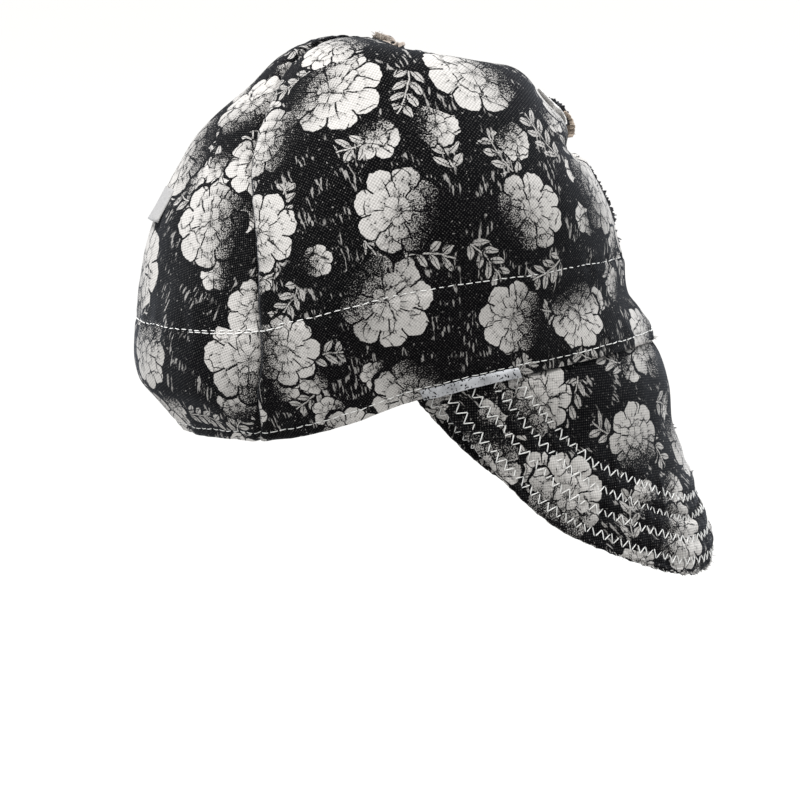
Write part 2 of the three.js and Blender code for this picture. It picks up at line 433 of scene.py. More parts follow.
def brim_skin(across, down, under=False):
    """Points of a brim cover's outer face, rounded in to the turned edge, and its normals."""
    across, down = arrays(across, down)
    point, normal = brim_frame(across, down)
    distance = from_edge(point)
    outward = unit(point - brim_face(across, down - 0.02))
    point = point + outward * ragged_edge(across, distance)[..., None]
    point = point + normal * brim_bends(across, distance)[..., None]
    out = brim_creases(across, distance, point)
    half = BRIM_CLOTH + GAP / 2
    inside = np.clip(1 - distance / half, 0, 1)
    roll = (half - 0.1) * (1 - np.sqrt(1 - inside**2))
    tuck = TUCK["deep"] * bump(down * BRIM_LENGTH, TUCK["broad"])
    if under:
        return point - normal * (2 * half + 0.5 * out - roll)[..., None], -normal
    return point + normal * (out - roll - tuck)[..., None], normal


# Meshes


def smooth_object(name, bm):
    """Ends a bmesh as an object with smooth faces."""
    mesh = bpy.data.meshes.new(name)
    bm.to_mesh(mesh)
    bm.free()
    mesh.shade_smooth()
    return add_object(name, mesh)


def cloth_sheet(name, columns, rows, place):
    """A fine grid laid on place(across, down), both from 0 to 1, in millimetres."""
    bm = bmesh.new()
    bmesh.ops.create_grid(bm, x_segments=columns, y_segments=rows, size=0.5)
    across = np.array([v.co.x + 0.5 for v in bm.verts])
    down = np.array([0.5 - v.co.y for v in bm.verts])
    for vertex, point in zip(bm.verts, place(across, down) * MM):
        vertex.co = point
    return smooth_object(name, bm)


def lay_flat(sheet, columns, rows, turned, middle):
    """Unwraps the sheet into its UV map as it was cut, in metres, turned and moved on the bolt."""
    bpy.context.view_layer.objects.active = sheet
    sheet.select_set(True)
    bpy.ops.object.mode_set(mode="EDIT")
    bpy.ops.mesh.select_all(action="SELECT")
    bpy.ops.uv.unwrap(method="ANGLE_BASED", margin=0)
    bpy.ops.object.mode_set(mode="OBJECT")
    sheet.select_set(False)
    mesh = sheet.data
    layer = mesh.uv_layers.active.data
    flat = np.array([corner.uv for corner in layer])
    where = np.zeros((len(mesh.vertices), 2))
    where[[corner.vertex_index for corner in mesh.loops]] = flat
    solid = np.array([v.co for v in mesh.vertices])
    grid = np.arange(len(mesh.vertices)).reshape(rows + 1, columns + 1)
    centre = grid[:, columns // 2]
    upright = where[centre[-1]] - where[centre[0]]
    steps = np.linalg.norm(np.diff(solid[centre], axis=0), axis=1).sum()
    flat_steps = np.linalg.norm(np.diff(where[centre], axis=0), axis=1).sum()
    angle = pi / 2 - atan2(upright[1], upright[0]) + radians(turned)
    spin = np.array([[cos(angle), sin(angle)], [-sin(angle), cos(angle)]])
    flat = (flat - where.mean(axis=0)) @ spin * (steps / flat_steps) + np.array(middle)
    layer.foreach_set("uv", flat.ravel())


def thicken(sheet, thick, cloth, lining):
    """Gives a sheet its thickness inwards, with the lining's material on the inside."""
    sheet.data.materials.append(cloth)
    sheet.data.materials.append(lining)
    modifier = sheet.modifiers.new("thickness", "SOLIDIFY")
    modifier.thickness = thick * MM
    modifier.offset = -1
    modifier.material_offset = 1
    modifier.material_offset_rim = 0


def finish_piece(piece, slot, *nodes):
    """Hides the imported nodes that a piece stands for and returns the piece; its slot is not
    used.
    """
    if nodes:
        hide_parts(*nodes)
    return piece


def sewn_cloth(name, grid, place, thick, cloth, lining=None, print_at=(0, (0, 0))):
    """A sheet laid in place, unwrapped as it was cut and given its thickness."""
    sheet = cloth_sheet(name, *grid, place)
    lay_flat(sheet, *grid, *print_at)
    thicken(sheet, thick, cloth, lining or cloth)
    return sheet


def thread_piece(name, paths, radius, material, roundness, taper):
    """Many short threads as one piece. Each path is a row of points in millimetres."""
    stations = paths.shape[1]
    lines = bpy.data.curves.new(name, "CURVE")
    lines.dimensions = "3D"
    lines.bevel_depth = radius * MM
    lines.bevel_resolution = roundness
    lines.use_fill_caps = True
    places = np.concatenate([paths * MM, np.ones((*paths.shape[:2], 1))], axis=2)
    for row in places:
        line = lines.splines.new("POLY")
        line.points.add(stations - 1)
        line.points.foreach_set("co", row.ravel())
        line.points.foreach_set("radius", taper)
    drawn = bpy.data.objects.new(name + "_lines", lines)
    mesh = bpy.data.meshes.new_from_object(drawn)
    mesh.name = name
    bpy.data.objects.remove(drawn)
    mesh.shade_smooth()
    mesh.materials.clear()
    mesh.materials.append(material)
    return add_object(name, mesh)


# A stitch's height over the cloth at shares of its length
STITCH_ARCH = dict(
    share=[0, 0.08, 0.28, 0.5, 0.72, 0.92, 1],
    lift=[-0.28, 0.04, 0.2, 0.25, 0.2, 0.04, -0.28],
)


def stitches(name, starts, ends, normals, material, radius=THREAD):
    """Each stitch comes up out of the cloth, bridges it and goes down again."""
    share = np.array(STITCH_ARCH["share"])[None, :, None]
    lift = np.array(STITCH_ARCH["lift"])[None, :, None]
    paths = starts[:, None] * (1 - share) + ends[:, None] * share + normals[:, None] * lift
    return thread_piece(name, paths, radius, material, 1, np.ones(len(STITCH_ARCH["share"])))


def along_line(points, steps):
    """Places on a polyline a step apart, as fractional indices into it."""
    lengths = np.linalg.norm(np.diff(points, axis=0), axis=1)
    run = np.concatenate([[0], np.cumsum(lengths / steps)])
    count = max(int(round(run[-1])), 2)
    return np.interp(np.linspace(0, run[-1], count + 1), run, np.arange(len(run)))


def pick(values, places):
    """Points at fractional indices."""
    index = np.arange(len(values))
    return np.stack([np.interp(places, index, column) for column in values.T], axis=-1)


def straight_row(points, normals, seed):
    """Starts, ends and normals of the stitches of one straight row."""
    places = along_line(points, STITCH_LENGTH)
    rest = STITCH_REST / STITCH_LENGTH / 2
    step = np.diff(places)
    starts = pick(points, places[:-1] + step * rest)
    ends = pick(points, places[1:] - step * rest)
    up = pick(normals, (places[:-1] + places[1:]) / 2)
    slip = STITCH_SLIP * wobble(np.arange(len(step)) / 2.3, seed)
    drift = unit(np.cross(ends - starts, up)) * slip[:, None]
    return starts - drift, ends + drift, up


# Materials


def feed(tree, made, *values):
    """Links the sockets and sets the numbers among values on a node's inputs, in turn."""
    for slot, value in zip(made.inputs, values):
        if isinstance(value, bpy.types.NodeSocket):
            tree.links.new(value, slot)
        else:
            slot.default_value = value
    return made.outputs[0]


def arithmetic(operation):
    return lambda value, other: value.math(operation, other)


class Value:
    """The number on a shader node's socket, reckoned with as in plain arithmetic."""

    __add__ = arithmetic("ADD")
    __sub__ = arithmetic("SUBTRACT")
    __mul__ = arithmetic("MULTIPLY")
    __truediv__ = arithmetic("DIVIDE")

    def __init__(self, tree, socket):
        self.tree = tree
        self.socket = socket

    def math(self, operation, *others):
        made = node(self.tree, "Math", operation=operation)
        others = [getattr(other, "socket", other) for other in others]
        return Value(self.tree, feed(self.tree, made, self.socket, *others))

    def inverse(self):
        """One minus the number."""
        return self * -1.0 + 1.0

    def rise(self, low, high):
        """From 0 below low to 1 above high, with soft ends."""
        limits = {"From Min": low, "From Max": high}
        made = node(self.tree, "MapRange", interpolation_type="SMOOTHSTEP", **limits)
        self.tree.links.new(self.socket, made.inputs["Value"])
        return Value(self.tree, made.outputs["Result"])

    def over(self, other, mask):
        """This number where the mask is 1, and the other where it is 0."""
        return self * mask + other * mask.inverse()


def new_material(name, roughness, sheen, shine=0.25):
    material = bpy.data.materials.new(name)
    material.use_nodes = True
    tree = material.node_tree
    shader = tree.nodes["Principled BSDF"]
    settings = {
        "Roughness": roughness,
        "Sheen Weight": sheen,
        "Sheen Roughness": 0.45,
        "Sheen Tint": (0.82, 0.88, 1.0, 1),
        "Specular IOR Level": shine,
    }
    for socket, value in settings.items():
        shader.inputs[socket].default_value = value
    return material, tree, shader


def node(tree, kind, vector=None, **settings):
    made = tree.nodes.new("ShaderNode" + kind)
    for key, value in settings.items():
        if hasattr(made, key):
            setattr(made, key, value)
        else:
            made.inputs[key].default_value = value
    if vector is not None:
        tree.links.new(vector, made.inputs["Vector"])
    return made


def noise_value(tree, place, size, detail=2.0):
    made = node(tree, "TexNoise", place, Scale=1 / size, Detail=detail)
    return Value(tree, made.outputs["Fac"])


def parts_of(tree, vector):
    made = node(tree, "SeparateXYZ", vector)
    return Value(tree, made.outputs["X"]), Value(tree, made.outputs["Y"])


def motif_places(tree, place, cell, randomness):
    """For each motif scattered on the cloth: the offset from its middle and three chances."""
    cells = node(tree, "TexVoronoi", place, voronoi_dimensions="2D", Scale=1 / cell,
                 Randomness=randomness)
    offset = node(tree, "VectorMath", operation="SUBTRACT")
    chances = node(tree, "SeparateColor")
    feed(tree, chances, cells.outputs["Color"])
    numbers = [Value(tree, chance) for chance in chances.outputs]
    return feed(tree, offset, place, cells.outputs["Position"]), numbers


# How deep the notches between petals go, as a share of the ring's reach
NOTCH = 0.22


def blooms(tree, place, cell, randomness, rings, veins, share=1.0):
    """Round layered flowers, each lit from its own side. Rings are (reach, petals)."""
    offset, (spin, size, chance) = motif_places(tree, place, cell * MM, randomness)
    x, y = parts_of(tree, offset)
    grow = size * 0.35 + 0.8
    ragged = noise_value(tree, place, 0.004)
    radius = (x * x + y * y).math("SQRT") / grow + (ragged - 0.5) * 0.003
    angle = y.math("ARCTAN2", x) + spin * (2 * pi)
    widest = rings[0][0] * MM
    lit = angle.math("COSINE") * radius / widest * 0.62 + 0.66
    tone = None
    for number, (reach, petals) in enumerate(rings):
        within = rings[number + 1][0] * MM * 0.88 if number + 1 < len(rings) else 0.0
        lobe = (angle * (petals / 2) + number * 0.9).math("COSINE").math("ABSOLUTE")
        outline = lobe.math("POWER", 0.5) * (NOTCH * reach * MM) + (1 - NOTCH) * reach * MM
        inside = (outline - radius).rise(-0.00015, 0.00025)
        depth = (radius - within) / (outline - within)
        shade = depth.rise(-0.15, 0.6) * 0.62 - depth.rise(0.8, 1.15) * 0.25 + 0.5
        vein = (angle * (petals * veins)).math("SINE").rise(0.6, 0.98) * depth.rise(0.85, 0.2)
        petal = shade * lobe.rise(0.02, 0.2) * (vein * -0.45 + 1.0) * lit
        tone = petal * inside if tone is None else petal.over(tone, inside)
        if number == 0:
            covered = (outline * 1.1 - radius).rise(0.0, 0.0004)
    shown = chance.rise(0.995 - share, 1.0 - share)
    return tone * shown, covered * shown


# A twig's leaves: from pair to pair, length, width and their lean away from the stem in degrees
LEAVES = dict(pitch=5.2, length=7.8, width=6.2, lean=48)


def sprigs(tree, place, cell, reach):
    """Twigs with pairs of pointed leaves."""
    offset, (spin, size, chance) = motif_places(tree, place, cell * MM, 0.8)
    turned = node(tree, "VectorRotate", offset, rotation_type="Z_AXIS")
    tree.links.new((spin * (2 * pi)).socket, turned.inputs["Angle"])
    x, y = parts_of(tree, turned.outputs[0])
    bent = y + x * x * 14.0
    side = bent.math("ABSOLUTE")
    pitch = LEAVES["pitch"] * MM
    pair = (x / pitch).math("FRACT") * pitch
    lean = radians(LEAVES["lean"])
    lengthwise = pair * cos(lean) + side * sin(lean)
    sideways = (pair * -sin(lean) + side * cos(lean)).math("ABSOLUTE")
    share = lengthwise / (LEAVES["length"] * MM)
    width = share * share.inverse() * (LEAVES["width"] * MM)
    leaf = (width - sideways).rise(0.0, 0.0002) * sideways.rise(0.00005, 0.00022)
    stem = (side * -1.0 + 0.00042).rise(0.0, 0.0002)
    end = (x.math("ABSOLUTE") * -1.0 + (size * 0.4 + 0.75) * (reach * MM)).rise(0.0, 0.0005)
    return (leaf * (share * 0.5 + 0.5)).math("MAXIMUM", stem * 0.8) * end * chance.rise(0.35, 0.36)


def weave_of(tree, place, pitch):
    """A plain weave's little humps, from 0 between the threads to 1 on them."""
    u, v = parts_of(tree, place)
    rate = 2 * pi / (pitch * MM)
    humps = (u * rate).math("SINE") * (v * rate).math("SINE")
    uneven = noise_value(tree, place, 0.0011, 1.0)
    return humps * 0.34 + uneven * 0.6 + 0.2


def cloth_relief(shader, height, distance, strength):
    relief = node(height.tree, "Bump", Distance=distance * MM, Strength=strength)
    height.tree.links.new(height.socket, relief.inputs["Height"])
    height.tree.links.new(relief.outputs[0], shader.inputs["Normal"])


def object_place(tree):
    return node(tree, "TexCoord").outputs["Object"]


def cut_place(tree):
    """The place on the cloth as it was cut, from the piece's UV map."""
    return node(tree, "TexCoord").outputs["UV"]


def two_colours(shader, share, low, high):
    """Colours the surface from low to high, as share goes from 0 to 1."""
    links = share.tree.links
    mix = node(share.tree, "Mix", data_type="RGBA")
    links.new(share.socket, mix.inputs["Factor"])
    colours = dict(A=low, B=high)
    for socket in mix.inputs:
        if socket.type == "RGBA":
            socket.default_value = (*colours[socket.name], 1)
    results = [socket for socket in mix.outputs if socket.type == "RGBA"]
    links.new(results[0], shader.inputs["Base Color"])


INK = (0.0014, 0.0013, 0.0016)
PALE = (0.555, 0.537, 0.515)


def warped(tree, place, size, reach):
    """The place on the cloth moved about a little, for lines with an unsteady hand."""
    drift = node(tree, "TexNoise", place, Scale=1 / size, Detail=2.0)
    centred = node(tree, "VectorMath", operation="SUBTRACT")
    aside = feed(tree, centred, drift.outputs["Color"], (0.5, 0.5, 0.5))
    moved = node(tree, "VectorMath", operation="MULTIPLY_ADD")
    return feed(tree, moved, aside, (reach, reach, 0), place)


def hatching(tree, place):
    """Short upright brush strokes in scattered patches."""
    strokes = node(tree, "Mapping", place, Rotation=(0, 0, 0.5), Scale=(1, 0.22, 1))
    fine = noise_value(tree, strokes.outputs[0], 0.0013, 3.0).rise(0.55, 0.6)
    patches = noise_value(tree, place, 0.011, 1.0).rise(0.53, 0.58)
    return fine * patches


def printed_cotton():
    """Pale stippled flowers and leafy twigs on a near-black ground, on plain-woven cotton."""
    material, tree, shader = new_material("printed_cotton", 0.85, 0.1, shine=0)
    cut = node(tree, "UVMap", uv_map="UVMap").outputs[0]
    place = warped(tree, cut, 0.006, 0.0022)
    large, large_cover = blooms(tree, place, 46, 0.55, [(18.5, 8), (12, 6), (6, 5)], 3.5)
    small, small_cover = blooms(tree, place, 27, 0.9, [(8.5, 6), (4, 5)], 2.5, 0.55)
    twigs = sprigs(tree, place, 23, 11)
    free = large_cover.inverse()
    behind = small * free + twigs * (free * small_cover.inverse())
    drawn = large + behind * 0.85
    grain = noise_value(tree, cut, 0.0006, 3.0)
    stipple = (drawn + (grain - 0.5) * 1.9).rise(0.34, 0.5)
    rough = warped(tree, cut, 0.003, 0.004)
    cracks = node(tree, "TexVoronoi", rough, voronoi_dimensions="2D", Scale=1 / 0.013,
                  feature="DISTANCE_TO_EDGE")
    crack = Value(tree, cracks.outputs["Distance"]).rise(0.005, 0.04)
    broken = noise_value(tree, cut, 0.007).rise(0.4, 0.5)
    line = crack.math("MAXIMUM", broken.inverse())
    splinters = noise_value(tree, cut, 0.0014, 4.0).rise(0.66, 0.69) * 0.5
    strokes = hatching(tree, cut) * 0.55
    ground = splinters.math("MAXIMUM", strokes * small_cover.inverse()) * free
    tone = (stipple * (drawn * 0.62 + 0.38) * line).math("MAXIMUM", ground).math("MINIMUM", 1.0)
    weave = weave_of(tree, cut, WEAVE)
    # Painted highlights: the colour is lighter on the tops of the woven threads.
    painted_thread_highlights = weave.rise(0.55, 0.95) * 0.08
    shown = tone * (weave * 0.55 + 0.56) + painted_thread_highlights
    two_colours(shader, shown, INK, PALE)
    cloth_relief(shader, weave, 0.18, 0.8)
    return material


def worn_print():
    """The print's pale part where the turned hem is rubbed and speckled."""
    material, tree, shader = new_material("worn_print", 0.85, 0.1, shine=0)
    place = object_place(tree)
    blots = noise_value(tree, place, 0.0011, 3.0).rise(0.37, 0.43)
    clouds = noise_value(tree, place, 0.012, 1.0).rise(0.3, 0.62)
    two_colours(shader, blots * (clouds * 0.6 + 0.4), INK, (0.52, 0.53, 0.55))
    cloth_relief(shader, blots, 0.1, 0.5)
    return material


def plain_cotton(name, colour):
    material, tree, shader = new_material(name, 0.9, 0.3)
    place = cut_place(tree)
    weave = weave_of(tree, place, FINE_WEAVE)
    two_colours(shader, weave, tuple(c * 0.6 for c in colour), colour)
    cloth_relief(shader, weave, 0.14, 0.7)
    return material


def tip_cotton():
    """Raw tan cotton with dark printed patches, at the ends of the seams."""
    material, tree, shader = new_material("tip_cotton", 0.9, 0.2)
    place = object_place(tree)
    patches = noise_value(tree, place, 0.0034, 3.0).rise(0.4, 0.5)
    fibres = noise_value(tree, place, 0.0007, 3.0)
    share = patches * (fibres * 0.9 + 0.4)
    two_colours(shader, share, (0.01, 0.009, 0.009), (0.42, 0.36, 0.31))
    cloth_relief(shader, fibres, 0.3, 0.8)
    return material


def thread_material(name, colour):
    material, tree, shader = new_material(name, 0.6, 0.2)
    place = object_place(tree)
    fibres = noise_value(tree, place, 0.0005, 2.0)
    two_colours(shader, fibres, tuple(c * 0.7 for c in colour), colour)
    cloth_relief(shader, fibres, 0.05, 0.5)
    return material


def label_tape():
    material, tree, shader = new_material("label_tape", 0.5, 0.15)
    place = cut_place(tree)
    ribs = weave_of(tree, place, FINE_WEAVE)
    two_colours(shader, ribs, (0.19, 0.186, 0.183), (0.47, 0.462, 0.458))
    cloth_relief(shader, ribs, 0.06, 0.5)
    return material


# The cap's pieces

# How much closer a panel's columns stand at its seams than in its middle, from 0 to 1
PACKED = 0.75
PANEL_ROWS = 128


def crown_panel(name, node_name, start, end, columns, print_at, cloth, lining):

    def place(across, down):
        across = across - PACKED * np.sin(2 * np.pi * across) / (2 * np.pi)
        along = TIP + (HEM - TIP) * down
        edge = SEAM_SLIT / degree(along, 90)
        low, high = start(along) + edge, end(along) - edge
        return crown_skin(along, low + (high - low) * across)[0]

    panel = sewn_cloth(name, (columns, PANEL_ROWS), place, CLOTH, cloth, lining, print_at)
    return finish_piece(panel, "printed_cotton", node_name)


def make_crown(cloth, lining):
    return [
        crown_panel("panel_right", "crown_panel_right", right_seam, front_seam, 132,
                    (8, (0.10, 0.31)), cloth, lining),
        crown_panel("panel_left", "crown_panel_left", front_seam, left_seam, 132,
                    (-14, (0.52, 0.12)), cloth, lining),
        crown_panel("panel_back", "crown_panel_back", left_seam, right_seam_onwards, 104,
                    (21, (0.83, 0.57)), cloth, lining),
    ]


def make_seam_allowances(lining):
    """The raw edges of the panels, pressed open inside along the three seams."""
    made = []
    seams = dict(front=front_seam, left=left_seam, right=right_seam)
    for number, (side, seam) in enumerate(seams.items()):

        def place(across, down, seam=seam, number=number):
            along = TIP + 1 + (BAND_STITCH - TIP) * down
            middle = seam(along)
            reach = np.minimum(ALLOWANCE, 0.16 * along + 1)
            reach = reach + 0.5 * wobble(along / 7, number) * np.sign(across - 0.5)
            depth = CLOTH + 0.1 + 0.35 * bump(np.abs(across - 0.5) * 2 - 1, 0.2)
            aside = (across - 0.5) * 2 * reach / degree(along, one_side(middle))
            return crown_skin(along, middle + aside, depth)[0]

        made.append(sewn_cloth(side + "_seam_inside", (12, 110), place, RAW_CLOTH, lining))
    return made


# The degrees round from the front between which the turned hem rolls to the outside
HEM_TURN = dict(front=72.5, back=95.5)


def make_hem_turns(cloth):
    """The hem's turned edge, which rolls to the outside above each end of the brim."""
    made = []
    for name, side in (("hem_turn_right", -1), ("hem_turn_left", 1)):

        def place(across, down, side=side):
            share = across if side < 0 else 1 - across
            turn = HEM_TURN["back"] + (HEM_TURN["front"] - HEM_TURN["back"]) * share
            along = HEM_STITCH + 0.7 + (HEM + 0.3 - HEM_STITCH) * down
            taper = np.sqrt(np.clip(share / 0.08, 0, 1))
            wave = 0.2 * wobble(turn / 4, 3)
            roll = np.sin(np.pi * np.clip(down * 0.92 + 0.04, 0, 1)) ** 0.6
            out = 0.3 + (0.75 + wave) * taper * roll
            return crown_skin(along, side * turn, -out)[0]

        strip = sewn_cloth(name, (48, 10), place, HEM_TURN_CLOTH, cloth)
        made.append(finish_piece(strip, "printed_cotton"))
    return made


# Raw edges that stand out of the front seam; jag and tooth are their teeth's depth and length
RAW_EDGES = dict(
    name=["front_seam_fold", "front_seam_raw_edge", "front_seam_raw_end", "front_seam_teeth"],
    cloth=["pale", "dark", "tan", "dark"],
    start=[66, 72, 81.5, 110],
    end=[87, 87, 92, 141],
    turn=[-12, -9, -9, -9],
    lean=[-3, -2, -3, 0],
    low=[-0.3, -0.3, 1.4, -0.6],
    high=[2.1, 4.2, 4.4, 1.2],
    jag=[0.1, 0.8, 0.3, 0.8],
    tooth=[1.3, 1.5, 1.3, 3.1],
    blunt=[0.45, 0.3, 0.16, 0.3],
)


def make_raw_edges(cloths):
    made = []
    for edge in rows_of(RAW_EDGES):

        def place(across, down, edge=edge):
            along = edge["start"] + (edge["end"] - edge["start"]) * down
            swell = np.sin(np.pi * np.clip(down * 0.94 + 0.03, 0, 1)) ** edge["blunt"]
            jag = edge["jag"] * wobble(along / edge["tooth"], 6) * across
            height = (edge["low"] + (edge["high"] - edge["low"]) * across) * swell + jag
            turn = edge["turn"] + edge["lean"] * across + 1.2 * wobble(along / 14, 2)
            return crown_skin(along, turn, -height)[0]

        strip = sewn_cloth(edge["name"], (6, 90), place, RAW_CLOTH, cloths[edge["cloth"]])
        made.append(finish_piece(strip, "frayed_cotton"))
    return made


# The head's mean radius in metres, round which the band's weave is laid
HEAD_RADIUS = 0.09


def make_band(cotton):
    """The sweatband inside the hem, as one closed ring of cloth."""

    def place(across, down):
        along = BAND_STITCH + (HEM - BAND_STITCH) * down
        point, normal = crown_frame(along, np.where(across > 0.9999, 0, 360 * across))
        out = 0.25 * lumps(point + 200, 9) - 0.3 * bump(along - HEM_STITCH, 1.2) - BAND_SLACK
        return point - normal * (CLOTH + GAP - np.minimum(out, 0))[..., None]

    band = cloth_sheet("sweatband_cloth", 300, 26, place)
    mesh = band.data
    bm = bmesh.new()
    bm.from_mesh(mesh)
    bmesh.ops.remove_doubles(bm, verts=bm.verts, dist=0.00002)
    bm.to_mesh(mesh)
    bm.free()
    for corner, flat in zip(mesh.loops, mesh.uv_layers.new(name="UVMap").data):
        point = mesh.vertices[corner.vertex_index].co
        flat.uv = (atan2(point.x, -point.y) * HEAD_RADIUS, point.z)
    thicken(band, BAND_CLOTH - BAND_SLACK, cotton, cotton)
    return finish_piece(band, "band_cotton", "sweatband")


def make_brim(cloth, lining):
    covers = []
    for name, node_name, under, print_at in (
        ("brim_top_cloth", "brim_top_cover", False, (-32, (0.301, 0.9287))),
        ("brim_under_cloth", "brim_under_cover", True, (40, (0.6, 0.7))),
    ):

        def place(across, down, under=under):
            side = (across * 2 - 1) * BRIM_END
            if under:
                side = -side
            left = 1 - down
            return brim_skin(side, 1 - left * (0.14 + 0.86 * left), under)[0]

        cover = sewn_cloth(name, (220, 64), place, BRIM_COVER_CLOTH, cloth, lining, print_at)
        covers.append(finish_piece(cover, "printed_cotton", node_name))
    return covers


def zigzag_line(row):
    """The places on the brim along one zigzag row, as arrays of across and down."""
    across = np.linspace(-BRIM_END + 0.005, BRIM_END - 0.005, 361)
    down = np.linspace(0.015, 1, 80)
    grid = brim_face(np.repeat(across, len(down)), np.tile(down, len(across)))
    gaps = from_edge(grid).reshape(len(across), len(down))
    wanted = row_distance(row, across)
    reached = gaps[:, 0] > wanted
    found = np.array([np.interp(-goal, -gap, down) for goal, gap in zip(wanted, gaps)])
    return across[reached], found[reached]


def make_zigzags(material, under=False):
    starts, ends, normals = [], [], []
    for number, row in enumerate(rows_of(ZIGZAG_ROWS)):
        across, down = zigzag_line(row)
        points, up = brim_skin(across, down, under)
        side = np.abs(across[1:] + across[:-1]) / 2
        steps = ZIGZAG_HALF_STEP["front"] * (1 - side) + ZIGZAG_HALF_STEP["side"] * side
        places = along_line(points, steps)
        points, up = pick(points, places), unit(pick(up, places))
        ahead = unit(np.gradient(points, axis=0))
        inward = unit(np.cross(up, ahead))
        swing = np.where(np.arange(len(places)) % 2 == 0, 1.0, -1.0) * ZIGZAG_HALF_WIDTH
        swing = swing * (1 + 0.12 * wobble(np.arange(len(places)) / 3.1, number))
        corners = points + inward * swing[:, None]
        starts.append(corners[:-1])
        ends.append(corners[1:])
        normals.append(unit(up[:-1] + up[1:]))
    name = "brim_zigzag_under" if under else "brim_zigzag_top"
    joined = [np.concatenate(part) for part in (starts, ends, normals)]
    return stitches(name, *joined, material, ZIGZAG_THREAD)


def crown_rows(material):
    """The two straight rows round the crown: one holds the band, one the turned hem."""
    made = []
    for name, along, low, high, seed in (
        ("band_stitching", BAND_STITCH, 0, 360, 1),
        ("band_stitching_overlap", BAND_STITCH + 1.1, 216, 242, 3),
        ("hem_stitching", HEM_STITCH, 0, 360, 2),
    ):
        turn = np.arange(low, high + 0.25, 0.5)
        points, normals = crown_skin(along + 0.35 * wobble(turn / 23, seed), turn)
        made.append(stitches(name, *straight_row(points, normals, seed), material))
    turn = np.linspace(0, 360, 721)
    points, normals = crown_frame(HEM_STITCH, turn)
    inner = points - normals * (CLOTH + GAP + BAND_CLOTH)
    made.append(stitches("hem_stitching_inside", *straight_row(inner, -normals, 4), material))
    return made


def make_label(tape):
    reach = LABEL["width"] / 2 / degree(LABEL["along"], 180)

    def place(across, down):
        along = LABEL["along"] + (down - 0.5) * LABEL["height"]
        turn = 180 + (across - 0.5) * 2 * reach
        curl = 2.0 * down**2 * (1 - 0.35 * np.abs(across * 2 - 1) ** 3)
        folded = 0.35 * bump(1 - np.abs(across * 2 - 1), 0.06)
        return crown_skin(along, turn, -(0.5 + curl - folded))[0]

    label = sewn_cloth("back_label_tape", (16, 10), place, LABEL_CLOTH, tape)
    return finish_piece(label, "label_tape", "back_label")


# The raw seam ends at the tip: each lies that far round from the front, rises and twists
TIP_ENDS = dict(
    turn=[176, 196, 150, 40, -50, -110, 95],
    rise=[40, 20, 26, 14, 14, 20, 18],
    twist=[62, 40, -35, 20, 35, 0, 10],
    length=[9.5, 6, 6, 5, 5.2, 5.5, 5],
    wide=[4.4, 4.6, 4.2, 4.4, 4.4, 3.8, 3.4],
)


def tip_middle():
    return (crown_skin(TIP, 0)[0] + crown_skin(TIP, 180)[0]) / 2


def make_tip(frayed):
    """The raw seam ends at the tip: small folded tongues of cloth round a plug."""
    bm = bmesh.new()
    middle = tip_middle()
    bmesh.ops.create_icosphere(bm, subdivisions=3, radius=1)
    for vertex in bm.verts:
        vertex.co = Vector((vertex.co.x * 3.9, vertex.co.y * 3.9, vertex.co.z * 1.5 - 0.8))
    for number, end in enumerate(rows_of(TIP_ENDS)):
        turn, rise, twist = (radians(end[key]) for key in ("turn", "rise", "twist"))
        grid = bmesh.ops.create_grid(bm, x_segments=14, y_segments=6, size=0.5)["verts"]
        for vertex in grid:
            run, side = vertex.co.x + 0.5, vertex.co.y * 2
            ragged = 0.9 * wobble(side * 1.7 + number, number) * run**3
            out = 0.5 + run * end["length"] + ragged
            wide = side * end["wide"] / 2 * (1 - 0.25 * run) + 0.3 * sin(run * 5 + number)
            fold = 1.3 * side**2 * sin(run * 2.4 + 0.5) + 0.5 * sin(run * 6 + number * 2)
            side = wide * cos(twist) - fold * sin(twist)
            lift = wide * sin(twist) + fold * cos(twist)
            level = out * cos(rise) - lift * sin(rise)
            height = 0.8 + out * sin(rise) + lift * cos(rise) - 0.8 * run**2
            vertex.co = Vector((
                level * sin(turn) + side * cos(turn),
                -level * cos(turn) + side * sin(turn),
                height,
            ))
    for vertex in bm.verts:
        vertex.co = (vertex.co + Vector(middle)) * MM
    tip = smooth_object("tip_seam_ends", bm)
    modifier = tip.modifiers.new("thickness", "SOLIDIFY")
    modifier.thickness = TIP_CLOTH * MM
    tip.data.materials.append(frayed)
    return finish_piece(tip, "frayed_cotton", "crown_knot")


def loose_ends(name, roots, normals, reach, radius, seed, material, spread=0.54):
    """Short bent fibres that stand out of raw edges and seams."""
    chance = np.random.default_rng(seed)
    count = len(roots)
    lean = unit(normals + spread * chance.normal(size=(count, 3)))
    bend = chance.normal(size=(count, 3)) * 0.45
    length = reach * chance.uniform(0.45, 1.0, size=(count, 1))
    share = np.linspace(0, 1, 5)[None, :, None]
    paths = roots[:, None] + (lean * length)[:, None] * share + (bend * length)[:, None] * share**2
    paths = paths - normals[:, None] * 0.25
    return thread_piece(name, paths, radius, material, 0, (1, 0.95, 0.85, 0.7, 0.4))


